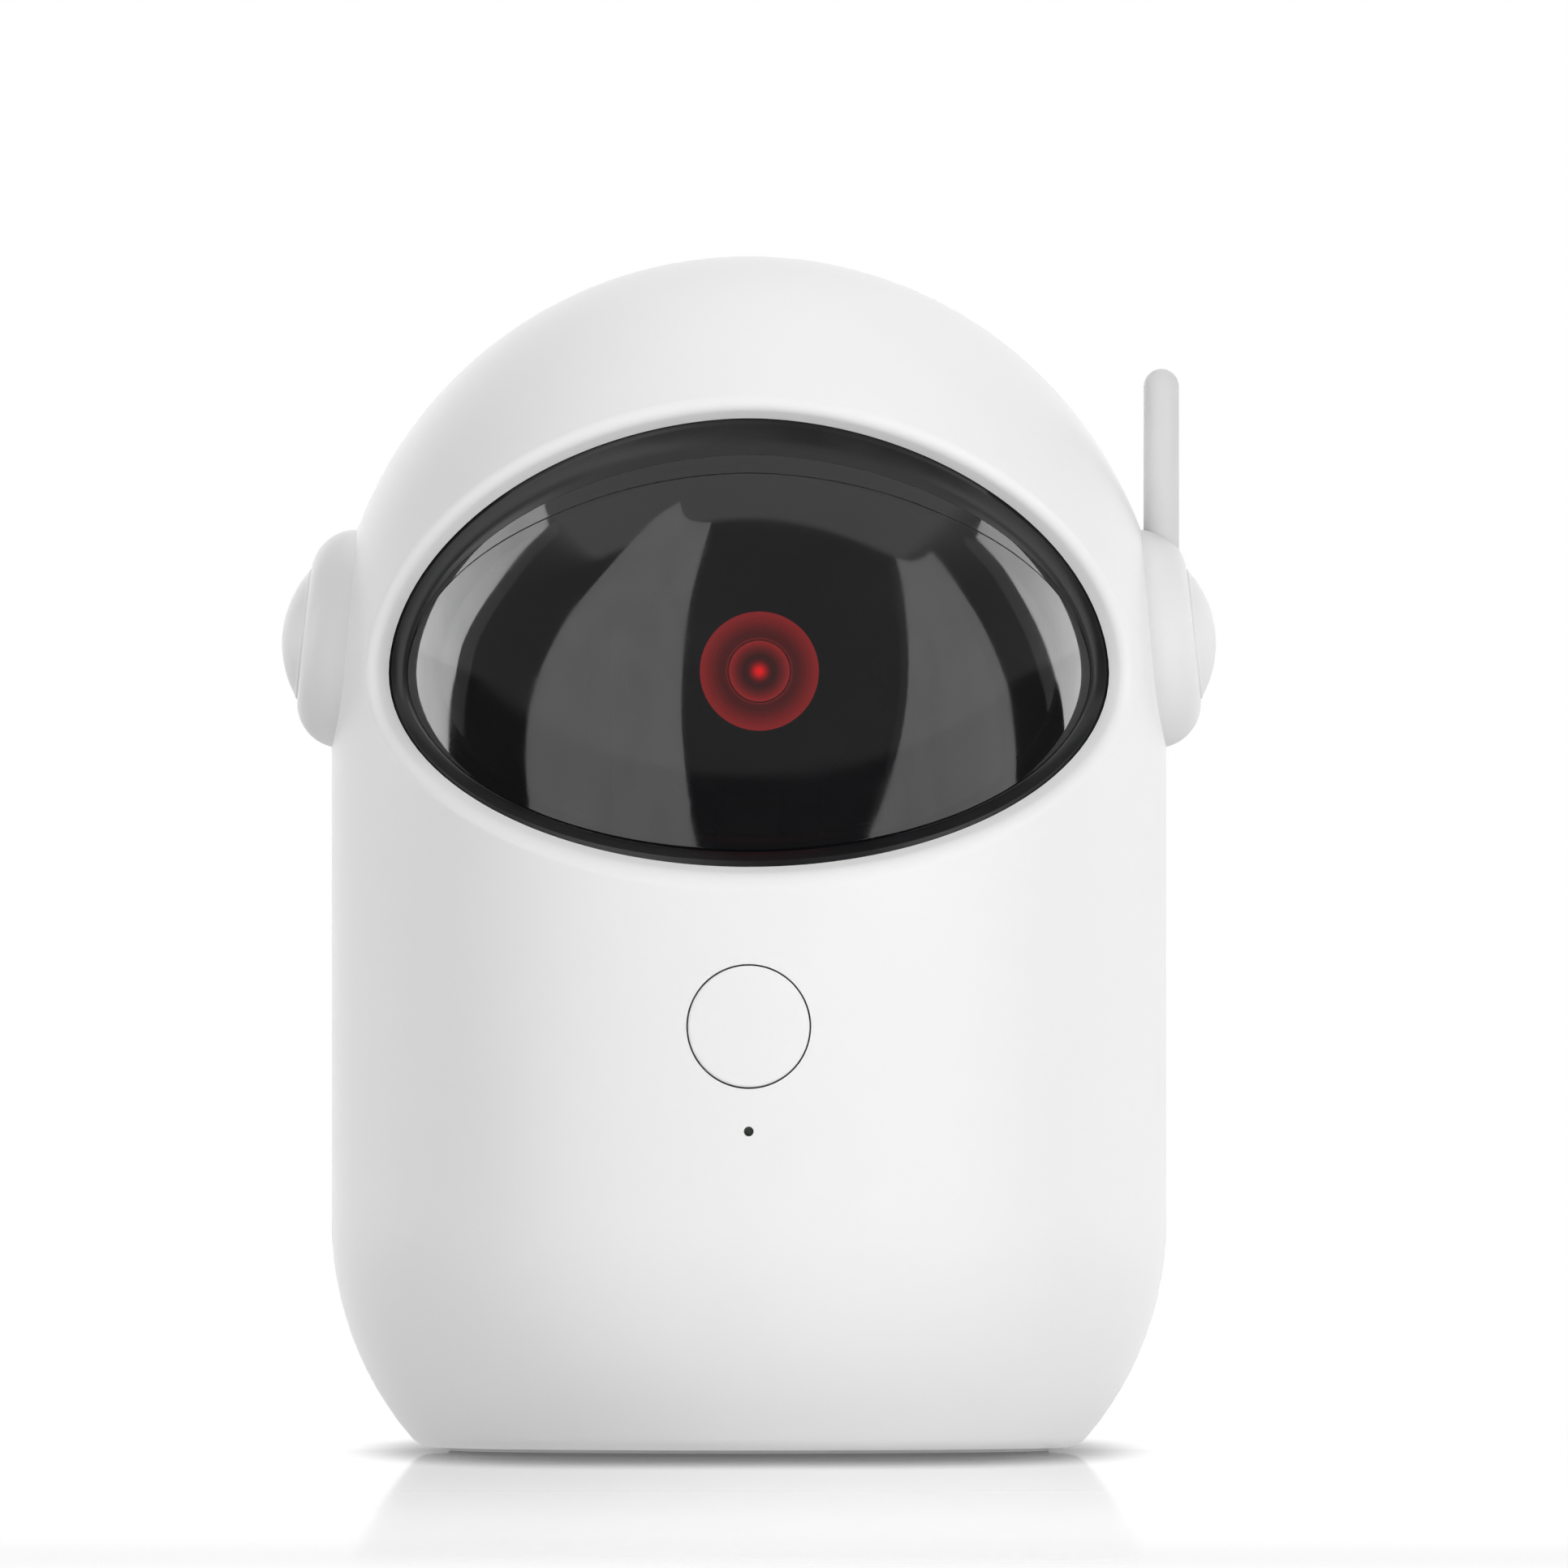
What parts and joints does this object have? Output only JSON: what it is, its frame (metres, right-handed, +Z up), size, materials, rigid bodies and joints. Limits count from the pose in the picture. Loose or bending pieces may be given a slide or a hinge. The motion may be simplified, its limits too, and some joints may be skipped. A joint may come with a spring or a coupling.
{
  "type": "automatic cat laser toy",
  "caption": "Capsule-shaped automatic cat laser toy with a smoked visor, round ears, a short antenna and a laser head that pans and tilts behind the visor",
  "frame": {"origin": "centre of the foot ring on the surface that it stands on, under the body's vertical axis", "axes": "+Z up; the visor and the button face -Y; +X is to the right of someone who looks at the front, on the side of the antenna"},
  "size_m": [0.0896, 0.08, 0.1145],
  "materials": {
    "base_white": "fine texture",
    "bezel_black": "glossy black",
    "black_plastic": "matte",
    "board_green": "solder mask",
    "brass": "turned",
    "button_white": "satin",
    "cell_blue": "shrink wrap",
    "chip_black": "moulded",
    "connector_ivory": "moulded nylon",
    "ear_cap_grey": "satin grey",
    "ear_grey": "satin light grey",
    "foam_grey": "foam tape",
    "foot_rubber": "matte",
    "gear_white": "moulded acetal",
    "lead_black": "silicone",
    "lead_red": "silicone",
    "led_clear": "clear green tint",
    "lens_red": "polished red lens",
    "motor_steel": "nickel plated",
    "part_tan": "ceramic",
    "ring_red": "translucent red diffuser",
    "screw_steel": "zinc plated",
    "shell_white": "satin moulded ABS",
    "visor_smoke": "smoked polycarbonate, polished"
  },
  "bodies": {
    "housing": {"front_shell": "shell_white", "rear_shell": "shell_white", "shell_screws": "screw_steel", "base_plate": "base_white", "base_screws": "screw_steel", "foot_ring": "foot_rubber", "visor": "visor_smoke", "visor_bezel": "bezel_black", "visor_retainer": "black_plastic", "retainer_screws": "screw_steel", "left_ear_pod": "ear_grey", "left_ear_cap": "ear_cap_grey", "right_ear_pod": "ear_grey", "right_ear_cap": "ear_cap_grey", "antenna": "ear_grey", "tact_switch": "black_plastic", "status_led": "led_clear", "main_board": "board_green", "board_screws": "screw_steel", "controller_chip": "chip_black", "board_components": "part_tan", "board_connectors": "connector_ivory", "charge_board": "board_green", "charge_board_screws": "screw_steel", "charge_chip": "chip_black", "usb_socket": "motor_steel", "usb_tongue": "black_plastic", "battery_cell": "cell_blue", "battery_foam": "foam_grey", "battery_leads": "lead_red", "motor_leads": "lead_black", "turret_deck": "black_plastic", "deck_screws": "screw_steel", "pan_bush": "brass", "motor_bracket": "black_plastic", "bracket_screws": "screw_steel", "pan_gearbox": "brass", "pan_motor_can": "motor_steel"},
    "button": {"power_button": "button_white", "switch_plunger": "black_plastic"},
    "pan_drive": {"pan_motor_shaft": "motor_steel", "pan_pinion": "gear_white"},
    "pan_stage": {"turntable": "black_plastic", "pan_gear": "gear_white", "pan_gear_screw": "screw_steel", "yoke_left": "black_plastic", "yoke_right": "black_plastic", "yoke_screws": "screw_steel", "tilt_motor": "motor_steel"},
    "tilt_drive": {"tilt_motor_shaft": "motor_steel", "tilt_pinion": "gear_white"},
    "laser_head": {"pod_front": "black_plastic", "pod_rear": "black_plastic", "pod_screws": "screw_steel", "laser_barrel": "brass", "laser_lens": "lens_red", "lens_ring": "ring_red", "trunnion_pins": "motor_steel", "tilt_sector_gear": "gear_white"}
  },
  "joints": [
    {"name": "button_press", "type": "slide", "parent": "housing", "child": "button", "axis": [0, 1, 0], "range_m": [0, 0.0005], "stiffness_N_per_m": 2000},
    {"name": "pan", "type": "hinge", "parent": "housing", "child": "pan_stage", "pos_m": [0, 0, 0.053], "axis": [0, 0, 1], "range_deg": [-60, 60]},
    {"name": "pan_pinion_turn", "type": "hinge", "parent": "housing", "child": "pan_drive", "pos_m": [0, 0.012, 0.0465], "axis": [0, 0, 1], "range_deg": [-180, 180]},
    {"name": "tilt", "type": "hinge", "parent": "pan_stage", "child": "laser_head", "pos_m": [0, 0, 0.0745], "axis": [1, 0, 0], "range_deg": [-8, 40]},
    {"name": "tilt_pinion_turn", "type": "hinge", "parent": "pan_stage", "child": "tilt_drive", "pos_m": [0.0168, 0.01131, 0.06319], "axis": [1, 0, 0], "range_deg": [-173.33, 34.67]}
  ],
  "couplings": [
    {"joint": "pan_pinion_turn", "follows": "pan", "ratio": -3},
    {"joint": "tilt_pinion_turn", "follows": "tilt", "ratio": -4.3333}
  ]
}
